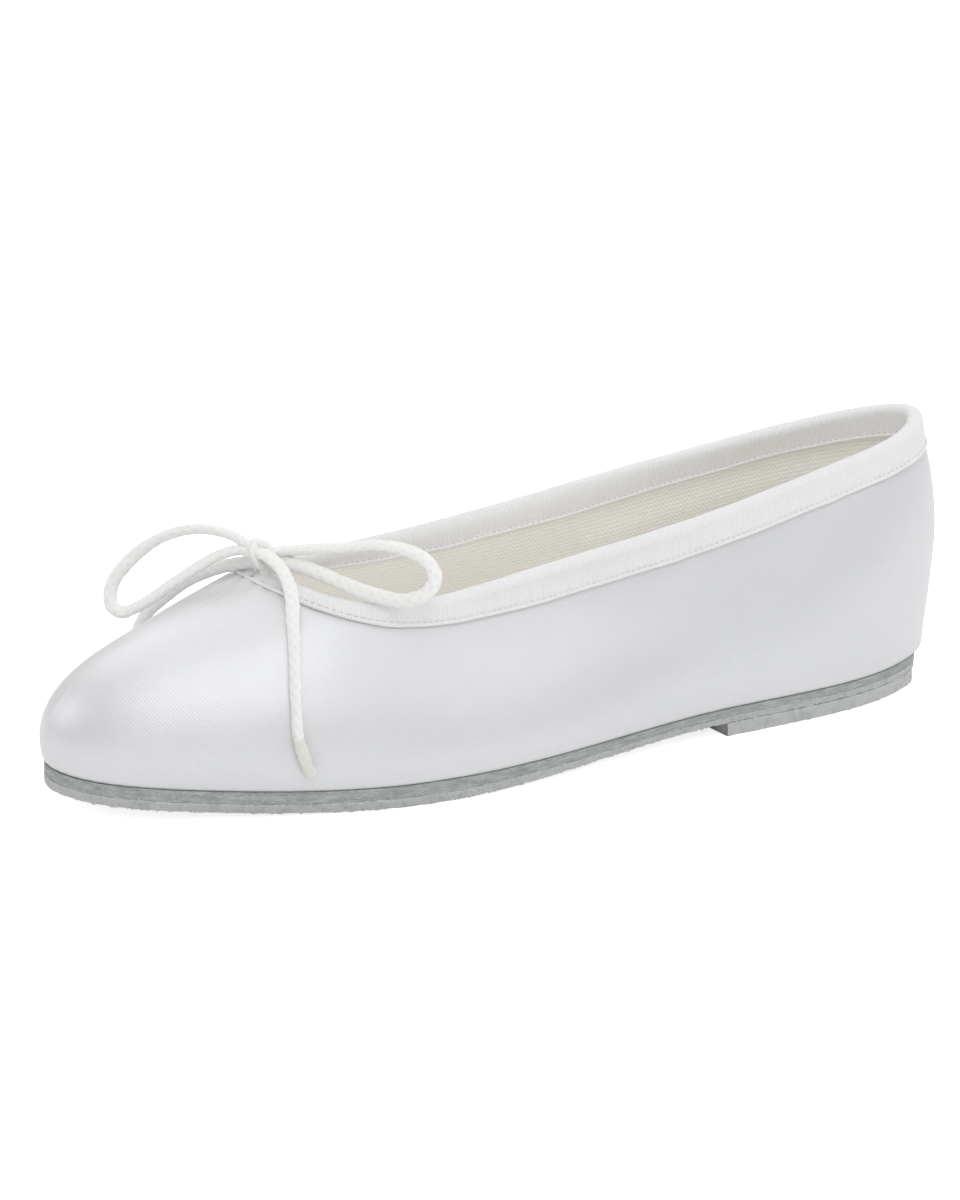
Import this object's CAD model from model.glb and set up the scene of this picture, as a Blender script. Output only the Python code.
import bpy
import math
import numpy as np
from mathutils import Matrix, Vector


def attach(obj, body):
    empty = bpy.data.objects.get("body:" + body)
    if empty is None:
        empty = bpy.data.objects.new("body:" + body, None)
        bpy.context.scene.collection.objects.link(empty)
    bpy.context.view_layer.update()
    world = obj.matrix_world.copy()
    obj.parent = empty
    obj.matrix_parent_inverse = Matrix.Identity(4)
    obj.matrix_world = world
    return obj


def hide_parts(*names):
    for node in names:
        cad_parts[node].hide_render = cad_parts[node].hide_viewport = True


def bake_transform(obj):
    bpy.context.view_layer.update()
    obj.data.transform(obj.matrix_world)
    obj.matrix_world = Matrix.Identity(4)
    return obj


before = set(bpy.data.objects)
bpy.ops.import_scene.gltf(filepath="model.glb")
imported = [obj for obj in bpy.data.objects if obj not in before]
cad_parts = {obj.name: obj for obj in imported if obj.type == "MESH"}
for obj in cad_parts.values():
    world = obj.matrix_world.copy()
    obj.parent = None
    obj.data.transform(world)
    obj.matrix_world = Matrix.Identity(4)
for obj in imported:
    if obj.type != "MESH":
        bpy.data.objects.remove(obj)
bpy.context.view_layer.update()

# Satin ballet slipper.  Lengths below are millimetres in (across, from toe, up);
# they become metres in the frame: x, y = from toe - HALF, z.
L = 200.0
HALF = L / 2 + 0.81
K = L / 225.0
PI2 = 2 * np.pi
OUTLINE = np.array([37.054, 2.167, 0.581, -1.569, -0.189, 1.552]) * K
SPRING, SPRING_END = 4.544 * K, 71.189 * K
RISE, RISE_A, RISE_B = 3.200 * K, 67.287 * K, 158.0 * K
T_FRONT, T_WAIST, THIN_A, THIN_RUN = 4.881 * K, 3.367 * K, 70.0 * K, 70.0 * K
OUT_SHARE = 0.45
BREAST = 137.0
TOP_A, TOP_B = 51.734 * K, 223.312 * K
TOP_W = np.array([26.936, 3.863, 3.722, 1.047, 0.481, -0.197, -0.196, 0.183]) * K
TOP_H = np.array([46.459, 43.029, 41.069, 44.430, 49.895, 55.593, 59.558, 61.508]) * K
LOW_OUT = np.array([6.697, 4.975, 4.406, 4.197, 2.182]) * K
LOW_UP = np.array([22.426, 16.210, 14.117, 16.044, 21.006]) * K
TOP_OUT = np.array([22.916, 14.127, -3.117, 5.192, 7.046]) * K
TOP_DOWN = np.array([9.295, 7.465, 9.061, 12.265, 22.452]) * K
KNOT = np.array([0.0, 45.7, 45.1])
MARGIN_T = 0.60
RIB = 0.58
EYELET = np.array([0.10, 44.17, 40.55])
RNG = np.random.RandomState(7)


# ---------------------------------------------------------------- last
def cosc(vals):
    n = len(vals)
    k = np.arange(n)
    return np.linalg.solve(np.cos(np.outer(np.pi * k / (n - 1), k)), vals)


CH, CLO, CLU, CTO, CTD = [cosc(q) for q in (TOP_H, LOW_OUT, LOW_UP, TOP_OUT, TOP_DOWN)]


def cs(c, t):
    return np.cos(np.multiply.outer(t, np.arange(len(c)))) @ c


def sm(t):
    t = np.clip(t, 0, 1)
    return t * t * (3 - 2 * t)


def sole_t(s):
    return T_FRONT + (T_WAIST - T_FRONT) * sm((s - THIN_A) / THIN_RUN)


def under_z(s):
    return SPRING * np.clip((SPRING_END - s) / SPRING_END, 0, None) ** 2 + RISE * sm((s - RISE_A) / (RISE_B - RISE_A))


def seat_z(s):
    return under_z(s) + sole_t(s)


def turn(t):
    return t - .34 * np.sin(t) - .18 * np.sin(2 * t) - .05 * np.sin(3 * t)


def feather(t):
    s = L * (1 - np.cos(t)) / 2
    x = sum(b * np.sin((k + 1) * t) for k, b in enumerate(OUTLINE))
    return np.stack([x, s, seat_z(s)], -1)


def topline(p):
    s = TOP_A + (TOP_B - TOP_A) * (1 - np.cos(p)) / 2
    x = sum(b * np.sin((k + 1) * p) for k, b in enumerate(TOP_W))
    return np.stack([x, s, cs(CH, p)], -1)


def plan_n(f, t):
    d = f(t + 1e-4) - f(t - 1e-4)
    l = np.hypot(d[..., 0], d[..., 1])
    return np.stack([d[..., 1] / l, -d[..., 0] / l, 0 * l], -1)


def ctrl(t):
    p = turn(t)
    f, g = feather(t), topline(p)
    nf, ng = plan_n(feather, t), plan_n(topline, p)
    z = np.array([0, 0, 1.0])
    a = f + cs(CLO, t)[..., None] * nf + cs(CLU, t)[..., None] * z
    b = g + cs(CTO, t)[..., None] * ng - cs(CTD, t)[..., None] * z
    return f, a, b, g


def bez(c, v):
    f, a, b, g = [q[:, None, :] for q in c]
    v = v[..., None]
    return (1 - v) ** 3 * f + 3 * (1 - v) ** 2 * v * a + 3 * (1 - v) * v * v * b + v ** 3 * g


def bez_dv(c, v):
    f, a, b, g = [q[:, None, :] for q in c]
    v = v[..., None]
    return 3 * (1 - v) ** 2 * (a - f) + 6 * (1 - v) * v * (b - a) + 3 * v * v * (g - b)


def unit(a):
    return a / np.maximum(np.linalg.norm(a, axis=-1, keepdims=True), 1e-12)


class Last:
    """The upper's surface at stations t: points, outward normals, upward tangents, and depths below the opening."""

    def __init__(self, t):
        self.t = t
        self.c = ctrl(t)
        self.cp, self.cm = ctrl(t + 1e-3), ctrl(t - 1e-3)
        v = np.linspace(1, 0, 161)[None, :] * np.ones((len(t), 1))
        p = bez(self.c, v)
        self.gv = v[0]
        self.depth = np.concatenate([np.zeros((len(t), 1)), np.cumsum(np.linalg.norm(np.diff(p, axis=1), axis=2), 1)], 1)
        self.gz = p[:, :, 2]
        self.s = topline(turn(t))[:, 1]

    def at(self, v):
        p = bez(self.c, v)
        dv = unit(bez_dv(self.c, v))
        du = bez(self.cp, v) - bez(self.cm, v)
        return p, unit(np.cross(du, dv)), dv

    def v_of_depth(self, d):
        out = np.empty(d.shape)
        for i in range(len(self.t)):
            out[i] = np.interp(d[i], self.depth[i], self.gv)
        return out

    def v_of_rise(self, r):
        out = np.empty(len(self.t))
        for i in range(len(self.t)):
            z = self.gz[i][::-1]
            k = np.argmax(z >= z[0] + r)
            a, b = z[k - 1], z[k]
            vv = self.gv[::-1]
            out[i] = vv[k - 1] + (vv[k] - vv[k - 1]) * (z[0] + r - a) / max(b - a, 1e-9)
        return out

    def total(self):
        return self.depth[:, -1]


def even_top(n):
    """n stations evenly spaced along the opening's edge."""
    tt = np.linspace(0, PI2, 6001)
    p = topline(turn(tt))
    a = np.concatenate([[0], np.cumsum(np.linalg.norm(np.diff(p, axis=0), axis=1))])
    x = np.linspace(0, a[-1], n + 1)[:-1]
    return np.interp(x, a, tt), x, a[-1]


def even_feather(n):
    tt = np.linspace(0, PI2, 6001)
    p = feather(tt)
    a = np.concatenate([[0], np.cumsum(np.linalg.norm(np.diff(p, axis=0), axis=1))])
    x = np.linspace(0, a[-1], n + 1)[:-1]
    return np.interp(x, a, tt), x, a[-1]


def heel_inset(t, depth=2.3):
    """the sole is trimmed shorter and squarer than the upper at the heel: plan shift of each outline point"""
    tt = np.linspace(0, PI2, 2001)
    g, f = feather(tt), feather(t)
    d = np.zeros_like(f)
    for a in (29.0, -29.0, 0.0):
        u = np.array([math.sin(math.radians(a)), math.cos(math.radians(a)), 0.0])
        over = ((f + d) * u).sum(-1) - ((g * u).sum(-1).max() - depth)
        d = d - (0.3 * np.log1p(np.exp(np.clip(over / 0.3, -30, 30))))[..., None] * u
    return d


# smooth value noise on a torus or line, seeded
def noise1(x, scale, seed, period=None):
    r = np.random.RandomState(seed)
    n = 4096
    tab = r.uniform(-1, 1, n)
    q = x / scale
    if period is not None:
        m = max(int(round(period / scale)), 1)
        q = x / (period / m)
        i = np.floor(q).astype(int)
        f = q - i
        a, b = tab[i % m], tab[(i + 1) % m]
    else:
        i = np.floor(q).astype(int)
        f = q - i
        a, b = tab[i % n], tab[(i + 1) % n]
    f = f * f * (3 - 2 * f)
    return a + (b - a) * f


def noise2(x, y, scale, seed):
    r = np.random.RandomState(seed)
    n = 256
    tab = r.uniform(-1, 1, (n, n))
    qx, qy = x / scale, y / scale
    i, j = np.floor(qx).astype(int), np.floor(qy).astype(int)
    fx, fy = qx - i, qy - j
    fx, fy = fx * fx * (3 - 2 * fx), fy * fy * (3 - 2 * fy)
    a, b = tab[i % n, j % n], tab[(i + 1) % n, j % n]
    c, d = tab[i % n, (j + 1) % n], tab[(i + 1) % n, (j + 1) % n]
    return (a + (b - a) * fx) * (1 - fy) + (c + (d - c) * fx) * fy


# ---------------------------------------------------------------- meshes
def to_m(p):
    q = np.array(p, float)
    q[..., 1] -= HALF
    return q * 1e-3


def new_mesh(name, verts, quads, uv=None, smooth=True):
    me = bpy.data.meshes.new(name)
    me.from_pydata(to_m(verts).tolist(), [], [list(map(int, q)) for q in quads])
    me.update()
    if smooth:
        me.polygons.foreach_set("use_smooth", [True] * len(me.polygons))
    if uv is not None:
        layer = me.uv_layers.new(name="UVMap")
        layer.data.foreach_set("uv", np.asarray(uv, np.float32).ravel())
    ob = bpy.data.objects.new(name, me)
    bpy.context.scene.collection.objects.link(ob)
    return ob


def torus_quads(n, m):
    i, j = np.meshgrid(np.arange(n), np.arange(m), indexing="ij")
    i2, j2 = (i + 1) % n, (j + 1) % m
    return np.stack([i * m + j, i2 * m + j, i2 * m + j2, i * m + j2], -1).reshape(-1, 4)


def torus_uv(u, w, umax, wmax):
    """per-corner uv for a torus grid; u, w are (n, m) arrays, the last row and column wrap to umax, wmax."""
    n, m = u.shape
    ue = np.concatenate([u, u[:1] + umax], 0)
    we = np.concatenate([w, w[:1]], 0)
    ue = np.concatenate([ue, ue[:, :1]], 1)
    we = np.concatenate([we, we[:, :1] + wmax], 1)
    c = []
    for di, dj in ((0, 0), (1, 0), (1, 1), (0, 1)):
        c.append(np.stack([ue[di:di + n, dj:dj + m], we[di:di + n, dj:dj + m]], -1))
    return np.stack(c, 2).reshape(-1, 2)


def torus_obj(name, p, u=None, w=None, umax=0.0, wmax=0.0, flip=False):
    n, m, _ = p.shape
    q = torus_quads(n, m)
    uv = torus_uv(u, w, umax, wmax) if u is not None else None
    if flip:
        q = q[:, ::-1]
        if uv is not None:
            uv = uv.reshape(-1, 4, 2)[:, ::-1].reshape(-1, 2)
    return new_mesh(name, p.reshape(-1, 3), q, uv)


def tube_obj(name, path, ra, rb=None, sides=20, texture=None, cap=True, roll=0.0, up=(0, 0, 1)):
    """cord along an evenly sampled path; ra, rb half-axes (scalars or arrays); texture(along, round) adds to the radius."""
    path = np.asarray(path, float)
    n = len(path)
    ra = np.broadcast_to(np.asarray(ra, float), (n,))
    rb = ra if rb is None else np.broadcast_to(np.asarray(rb, float), (n,))
    tg = unit(np.gradient(path, axis=0))
    x = unit(np.cross(tg[0], np.array(up, float)))
    along = np.concatenate([[0], np.cumsum(np.linalg.norm(np.diff(path, axis=0), axis=1))])
    ang = PI2 * np.arange(sides) / sides
    rolls = np.broadcast_to(np.asarray(roll, float), (n,))
    pts = np.empty((n, sides, 3))
    for i in range(n):
        x = unit(x - tg[i] * (x @ tg[i]))
        y = np.cross(tg[i], x)
        ca, sa = np.cos(ang), np.sin(ang)
        xr, yr = x * math.cos(rolls[i]) + y * math.sin(rolls[i]), -x * math.sin(rolls[i]) + y * math.cos(rolls[i])
        e = texture(along[i], ang) if texture is not None else 0.0
        pts[i] = path[i] + ((ra[i] + e) * ca)[:, None] * xr + ((rb[i] + e) * sa)[:, None] * yr
    verts = pts.reshape(-1, 3).tolist()
    quads, uv = [], []
    r0 = float(np.mean(ra))
    for i in range(n - 1):
        for j in range(sides):
            j2 = (j + 1) % sides
            quads.append((i * sides + j, i * sides + j2, (i + 1) * sides + j2, (i + 1) * sides + j))
            uv += [(along[i], r0 * ang[j]), (along[i], r0 * (ang[j] + PI2 / sides)),
                   (along[i + 1], r0 * (ang[j] + PI2 / sides)), (along[i + 1], r0 * ang[j])]
    faces = quads
    if cap:
        for end, base in ((0, 0), (1, (n - 1) * sides)):
            d = -tg[0] if end == 0 else tg[-1]
            c0 = path[0] if end == 0 else path[-1]
            rings = [base]
            for f, h in ((0.82, 0.32), (0.5, 0.52)):
                idx = len(verts)
                src = np.array(verts[base:base + sides])
                rr = float(ra[0] if end == 0 else ra[-1])
                ring = c0 + (src - c0) * f + d * (h * rr)
                verts += ring.tolist()
                rings.append(idx)
            tip = len(verts)
            verts.append((c0 + d * (0.6 * float(ra[0] if end == 0 else ra[-1]))).tolist())
            for a, b in zip(rings[:-1], rings[1:]):
                for j in range(sides):
                    j2 = (j + 1) % sides
                    faces.append((a + j2, a + j, b + j, b + j2) if end == 0 else (a + j, a + j2, b + j2, b + j))
                    uv += [(0, 0)] * 4
            for j in range(sides):
                j2 = (j + 1) % sides
                faces.append((rings[-1] + j2, rings[-1] + j, tip) if end == 0 else (rings[-1] + j, rings[-1] + j2, tip))
                uv += [(0, 0)] * 3
    return new_mesh(name, np.array(verts), faces, np.array(uv))


def catmull(pts, n, closed=False):
    """points resampled evenly along a smooth curve through pts"""
    p = np.asarray(pts, float)
    if closed:
        q = np.concatenate([p[-1:], p, p[:2]])
    else:
        q = np.concatenate([[2 * p[0] - p[1]], p, [2 * p[-1] - p[-2]]])
    out = []
    for i in range(1, len(q) - 2):
        a, b, c, d = q[i - 1], q[i], q[i + 1], q[i + 2]
        ta = np.linalg.norm(b - a) ** .5
        tb = np.linalg.norm(c - b) ** .5
        tc = np.linalg.norm(d - c) ** .5
        m1 = (c - b) + tb * ((b - a) / max(ta, 1e-6) - (c - a) / max(ta + tb, 1e-6))
        m2 = (c - b) + tb * ((d - c) / max(tc, 1e-6) - (d - b) / max(tb + tc, 1e-6))
        t = np.linspace(0, 1, 24, endpoint=False)[:, None]
        out.append((2 * t ** 3 - 3 * t ** 2 + 1) * b + (t ** 3 - 2 * t ** 2 + t) * m1 + (-2 * t ** 3 + 3 * t ** 2) * c + (t ** 3 - t ** 2) * m2)
    out = np.concatenate(out + [q[-2:-1]])
    a = np.concatenate([[0], np.cumsum(np.linalg.norm(np.diff(out, axis=0), axis=1))])
    x = np.linspace(0, a[-1], n)
    return np.stack([np.interp(x, a, out[:, k]) for k in range(3)], -1)


# ---------------------------------------------------------------- materials
def mat(name):
    m = bpy.data.materials.new(name)
    m.use_nodes = True
    nt = m.node_tree
    bsdf = nt.nodes["Principled BSDF"]
    return m, nt, bsdf


def node(nt, kind, **kw):
    n = nt.nodes.new(kind)
    for k, v in kw.items():
        if k in n.inputs.keys():
            n.inputs[k].default_value = v
        else:
            setattr(n, k, v)
    return n


def ramp(nt, fac, stops):
    r = nt.nodes.new("ShaderNodeValToRGB")
    el = r.color_ramp.elements
    while len(el) > 1:
        el.remove(el[0])
    el[0].position = stops[0][0]
    el[0].color = (*stops[0][1], 1)
    for pos, col in stops[1:]:
        e = el.new(pos)
        e.color = (*col, 1)
    nt.links.new(fac, r.inputs["Fac"])
    return r.outputs["Color"]


def math_node(nt, op, a, b=None, clamp=False):
    n = nt.nodes.new("ShaderNodeMath")
    n.operation = op
    n.use_clamp = clamp
    for i, x in enumerate((a, b)):
        if x is None:
            continue
        if isinstance(x, (int, float)):
            n.inputs[i].default_value = x
        else:
            nt.links.new(x, n.inputs[i])
    return n.outputs[0]


def mix_col(nt, fac, a, b, blend="MIX"):
    n = nt.nodes.new("ShaderNodeMix")
    n.data_type = "RGBA"
    n.blend_type = blend
    for sock, x in ((n.inputs[0], fac), (n.inputs[6], a), (n.inputs[7], b)):
        if isinstance(x, (int, float)):
            sock.default_value = x
        elif isinstance(x, tuple):
            sock.default_value = (*x, 1)
        else:
            nt.links.new(x, sock)
    return n.outputs[2]


def bump(nt, bsdf, height, strength, dist_mm, prev=None):
    b = nt.nodes.new("ShaderNodeBump")
    b.inputs["Strength"].default_value = strength
    b.inputs["Distance"].default_value = dist_mm * 1e-3
    nt.links.new(height, b.inputs["Height"])
    if prev is not None:
        nt.links.new(prev, b.inputs["Normal"])
    nt.links.new(b.outputs["Normal"], bsdf.inputs["Normal"])
    return b.outputs["Normal"]


def uv_lines(nt, su, sv, detail=0.0, dscale=1.0, distort=0.0):
    """sine lines across direction (su, sv) cycles per mm in uv space"""
    uv = nt.nodes.new("ShaderNodeUVMap")
    uv.uv_map = "UVMap"
    d = nt.nodes.new("ShaderNodeVectorMath")
    d.operation = "DOT_PRODUCT"
    nt.links.new(uv.outputs["UV"], d.inputs[0])
    d.inputs[1].default_value = (su * 2 * math.pi, sv * 2 * math.pi, 0)
    v = d.outputs["Value"]
    if distort:
        nz = node(nt, "ShaderNodeTexNoise", Scale=dscale, Detail=2.0)
        nt.links.new(uv.outputs["UV"], nz.inputs["Vector"])
        v = math_node(nt, "ADD", v, math_node(nt, "MULTIPLY", math_node(nt, "SUBTRACT", nz.outputs["Fac"], 0.5), distort))
    return math_node(nt, "ADD", math_node(nt, "MULTIPLY", math_node(nt, "SINE", v), 0.5), 0.5)


def obj_noise(nt, scale, detail=4.0, rough=0.55, stretch=(1, 1, 1)):
    tc = nt.nodes.new("ShaderNodeTexCoord")
    mp = nt.nodes.new("ShaderNodeMapping")
    mp.inputs["Scale"].default_value = stretch
    nt.links.new(tc.outputs["Object"], mp.inputs["Vector"])
    nz = node(nt, "ShaderNodeTexNoise", Scale=scale, Detail=detail, Roughness=rough)
    nt.links.new(mp.outputs["Vector"], nz.inputs["Vector"])
    return nz.outputs["Fac"]


def uv_noise(nt, su, sv, detail=3.0, rough=0.55):
    uv = nt.nodes.new("ShaderNodeUVMap")
    uv.uv_map = "UVMap"
    mp = nt.nodes.new("ShaderNodeMapping")
    mp.inputs["Scale"].default_value = (su, sv, 1)
    nt.links.new(uv.outputs["UV"], mp.inputs["Vector"])
    nz = node(nt, "ShaderNodeTexNoise", Scale=1.0, Detail=detail, Roughness=rough)
    nt.links.new(mp.outputs["Vector"], nz.inputs["Vector"])
    return nz.outputs["Fac"]


def satin_mat():
    m, nt, b = mat("satin_white")
    lines = uv_lines(nt, 1.15, 1.55, distort=1.6, dscale=0.9)
    lines2 = uv_lines(nt, -0.55, 2.9, distort=1.2, dscale=1.3)
    floats = uv_noise(nt, 2.4, 3.4, 3.0, 0.7)
    cloud = obj_noise(nt, 42, 3.0)
    patch = uv_noise(nt, 0.10, 0.16, 3.0, 0.6)
    base = mix_col(nt, cloud, (0.70, 0.705, 0.72), (0.75, 0.754, 0.765))
    base = mix_col(nt, math_node(nt, "MULTIPLY", patch, 0.35), base, (0.80, 0.803, 0.815))
    col = mix_col(nt, math_node(nt, "MULTIPLY", lines, 0.11), base, (0.90, 0.905, 0.92))
    col = mix_col(nt, math_node(nt, "MULTIPLY", floats, 0.36), col, (0.60, 0.605, 0.62))
    b.inputs["Metallic"].default_value = 0.30
    nt.links.new(col, b.inputs["Base Color"])
    b.inputs["Roughness"].default_value = 0.46
    b.inputs["Specular IOR Level"].default_value = 0.55
    b.inputs["Sheen Weight"].default_value = 0.25
    b.inputs["Sheen Roughness"].default_value = 0.35
    b.inputs["Anisotropic"].default_value = 0.35
    rg = math_node(nt, "ADD", 0.31, math_node(nt, "MULTIPLY", math_node(nt, "ADD", cloud, floats), 0.08))
    nt.links.new(rg, b.inputs["Roughness"])
    h = math_node(nt, "ADD", math_node(nt, "MULTIPLY", lines, 0.6), math_node(nt, "MULTIPLY", lines2, 0.4))
    h = math_node(nt, "ADD", h, math_node(nt, "MULTIPLY", floats, 0.9))
    bump(nt, b, h, 0.42, 0.045)
    return m


def lining_mat():
    m, nt, b = mat("lining_twill")
    rows = uv_lines(nt, 0.02, 1.06, distort=0.5, dscale=0.35)
    twill = uv_lines(nt, 1.15, 1.06, distort=0.7, dscale=0.8)
    cloud = obj_noise(nt, 60, 4.0)
    dash = uv_noise(nt, 0.9, 2.2, 2.0, 0.6)
    base = mix_col(nt, math_node(nt, "MULTIPLY", rows, dash), (0.765, 0.748, 0.70), (0.93, 0.922, 0.895))
    base = mix_col(nt, math_node(nt, "MULTIPLY", twill, 0.20), base, (0.93, 0.925, 0.90))
    col = mix_col(nt, math_node(nt, "MULTIPLY", cloud, 0.25), base, (0.84, 0.825, 0.785))
    nt.links.new(col, b.inputs["Base Color"])
    # daylight that comes through the pale cloth
    nt.links.new(col, b.inputs["Emission Color"])
    tc = nt.nodes.new("ShaderNodeTexCoord")
    sp = nt.nodes.new("ShaderNodeSeparateXYZ")
    nt.links.new(tc.outputs["Object"], sp.inputs[0])
    glow = math_node(nt, "SUBTRACT", 0.205, math_node(nt, "MULTIPLY", sp.outputs["Y"], 1.45), True)
    nt.links.new(glow, b.inputs["Emission Strength"])
    b.inputs["Roughness"].default_value = 0.85
    b.inputs["Specular IOR Level"].default_value = 0.2
    b.inputs["Sheen Weight"].default_value = 0.2
    h = math_node(nt, "ADD", math_node(nt, "MULTIPLY", rows, 0.7), math_node(nt, "MULTIPLY", twill, 0.45))
    bump(nt, b, h, 0.6, 0.12)
    return m


def tape_mat():
    m, nt, b = mat("grosgrain_tape")
    ribs = uv_lines(nt, 1.0 / RIB, 0.0)
    warp = uv_lines(nt, 0.0, 3.6, distort=0.6, dscale=2.0)
    cloud = obj_noise(nt, 55, 3.0)
    base = mix_col(nt, cloud, (0.74, 0.742, 0.75), (0.80, 0.80, 0.805))
    col = mix_col(nt, math_node(nt, "MULTIPLY", ribs, 0.40), base, (0.92, 0.92, 0.92))
    tc = nt.nodes.new("ShaderNodeTexCoord")
    ds = nt.nodes.new("ShaderNodeVectorMath")
    ds.operation = "DISTANCE"
    nt.links.new(tc.outputs["Object"], ds.inputs[0])
    ds.inputs[1].default_value = tuple(float(v) for v in to_m(EYELET))
    dark = math_node(nt, "SUBTRACT", 1.0, math_node(nt, "DIVIDE", ds.outputs["Value"], 0.00052), True)
    col = mix_col(nt, math_node(nt, "MULTIPLY", dark, 2.4, True), col, (0.07, 0.07, 0.07))
    nt.links.new(col, b.inputs["Base Color"])
    b.inputs["Roughness"].default_value = 0.55
    b.inputs["Sheen Weight"].default_value = 0.3
    b.inputs["Specular IOR Level"].default_value = 0.45
    bump(nt, b, math_node(nt, "MULTIPLY", warp, 0.5), 0.25, 0.04)
    # daylight that comes through the cloth reaches the leg inside the shoe
    uv = nt.nodes.new("ShaderNodeUVMap")
    uv.uv_map = "UVMap"
    sp = nt.nodes.new("ShaderNodeSeparateXYZ")
    nt.links.new(uv.outputs["UV"], sp.inputs[0])
    inside = math_node(nt, "MULTIPLY", math_node(nt, "SUBTRACT", sp.outputs["Y"], 9.6, True), 0.10)
    nt.links.new(mix_col(nt, 0.6, col, (0.98, 0.93, 0.84)), b.inputs["Emission Color"])
    nt.links.new(inside, b.inputs["Emission Strength"])
    return m


def cord_mat():
    m, nt, b = mat("cord_white")
    a = uv_lines(nt, 0.40, 0.448, distort=0.3, dscale=1.2)
    c = uv_lines(nt, 0.40, -0.448, distort=0.3, dscale=1.2)
    fib = uv_noise(nt, 0.5, 6.0, 4.0, 0.65)
    strand = math_node(nt, "MAXIMUM", a, c)
    h = math_node(nt, "ADD", math_node(nt, "MULTIPLY", strand, 0.8), fib)
    base = mix_col(nt, fib, (0.83, 0.826, 0.81), (0.94, 0.938, 0.925))
    base = mix_col(nt, math_node(nt, "MULTIPLY", math_node(nt, "SUBTRACT", 1.0, strand), 0.35), base, (0.74, 0.73, 0.70))
    nt.links.new(base, b.inputs["Base Color"])
    b.inputs["Roughness"].default_value = 0.5
    b.inputs["Sheen Weight"].default_value = 0.3
    b.inputs["Specular IOR Level"].default_value = 0.5
    bump(nt, b, h, 0.5, 0.09)
    return m


def tip_mat():
    m, nt, b = mat("cord_tip_glue")
    n1 = uv_noise(nt, 0.8, 2.5, 3.0)
    col = mix_col(nt, n1, (0.66, 0.652, 0.61), (0.80, 0.797, 0.77))
    nt.links.new(col, b.inputs["Base Color"])
    b.inputs["Roughness"].default_value = 0.32
    b.inputs["Subsurface Weight"].default_value = 0.25
    b.inputs["Subsurface Radius"].default_value = (0.002, 0.0016, 0.001)
    b.inputs["Subsurface Scale"].default_value = 1.0
    bump(nt, b, uv_noise(nt, 1.5, 6.0, 3.0), 0.5, 0.15)
    return m


def thread_mat():
    m, nt, b = mat("thread_white")
    ply = uv_lines(nt, 2.5, 1.0)
    col = mix_col(nt, ply, (0.70, 0.70, 0.71), (0.86, 0.86, 0.86))
    nt.links.new(col, b.inputs["Base Color"])
    b.inputs["Roughness"].default_value = 0.5
    bump(nt, b, ply, 0.4, 0.05)
    return m


def flecks(nt, col, amount=1.0, light=(0.68, 0.69, 0.67)):
    at = nt.nodes.new("ShaderNodeAttribute")
    at.attribute_name = "fleck"
    grain = ramp(nt, uv_noise(nt, 1.15, 2.6, 4.0, 0.7), [(0.47, (0, 0, 0)), (0.60, (1, 1, 1))])
    return mix_col(nt, math_node(nt, "MULTIPLY", math_node(nt, "MULTIPLY", at.outputs["Fac"], amount), grain, True), col, light)


def midsole_mat():
    m, nt, b = mat("midsole_grey")
    streak = uv_noise(nt, 0.22, 1.4, 5.0, 0.68)
    spots = uv_noise(nt, 1.3, 2.4, 4.0, 0.7)
    fine = obj_noise(nt, 900, 3.0)
    col = ramp(nt, streak, [(0.30, (0.215, 0.242, 0.242)), (0.50, (0.345, 0.372, 0.368)), (0.72, (0.51, 0.53, 0.52))])
    col = mix_col(nt, ramp(nt, spots, [(0.52, (0, 0, 0)), (0.70, (0.75, 0.75, 0.75))]), col, (0.60, 0.61, 0.60))
    col = mix_col(nt, math_node(nt, "MULTIPLY", fine, 0.22), col, (0.20, 0.215, 0.215))
    col = flecks(nt, col, 0.8)
    nt.links.new(col, b.inputs["Base Color"])
    b.inputs["Roughness"].default_value = 0.68
    b.inputs["Specular IOR Level"].default_value = 0.35
    bump(nt, b, math_node(nt, "ADD", fine, math_node(nt, "MULTIPLY", streak, 1.5)), 0.45, 0.12)
    return m


def suede_mat(name="suede_grey", light=1.0):
    m, nt, b = mat(name)
    n1 = obj_noise(nt, 420, 5.0, 0.65)
    n2 = uv_noise(nt, 0.35, 1.1, 4.0, 0.6)
    fibre = uv_noise(nt, 2.2, 3.2, 4.0, 0.7)
    c1 = tuple(x * light for x in (0.36, 0.38, 0.373))
    c2 = tuple(x * light for x in (0.57, 0.585, 0.575))
    col = mix_col(nt, n2, c1, c2)
    col = mix_col(nt, ramp(nt, fibre, [(0.52, (0, 0, 0)), (0.72, (0.75, 0.75, 0.75))]), col, (0.70, 0.71, 0.69))
    col = mix_col(nt, ramp(nt, n1, [(0.25, (0.55, 0.55, 0.55)), (0.5, (0, 0, 0))]), col, (0.25, 0.265, 0.26))
    col = flecks(nt, col, 0.9)
    nt.links.new(col, b.inputs["Base Color"])
    b.inputs["Roughness"].default_value = 0.95
    b.inputs["Specular IOR Level"].default_value = 0.15
    b.inputs["Sheen Weight"].default_value = 0.45
    b.inputs["Sheen Roughness"].default_value = 0.6
    bump(nt, b, math_node(nt, "ADD", n1, fibre), 0.9, 0.28)
    return m


def insock_mat():
    m, nt, b = mat("insock_cotton")
    a, c = uv_lines(nt, 1.5, 0.0, distort=0.4, dscale=0.6), uv_lines(nt, 0.0, 1.5, distort=0.4, dscale=0.6)
    cloud = obj_noise(nt, 35, 4.0)
    col = mix_col(nt, cloud, (0.56, 0.54, 0.49), (0.66, 0.64, 0.60))
    col = mix_col(nt, math_node(nt, "MULTIPLY", math_node(nt, "MULTIPLY", a, c), 0.5), col, (0.74, 0.72, 0.68))
    nt.links.new(col, b.inputs["Base Color"])
    b.inputs["Roughness"].default_value = 0.9
    bump(nt, b, math_node(nt, "ADD", a, c), 0.4, 0.1)
    return m


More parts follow.
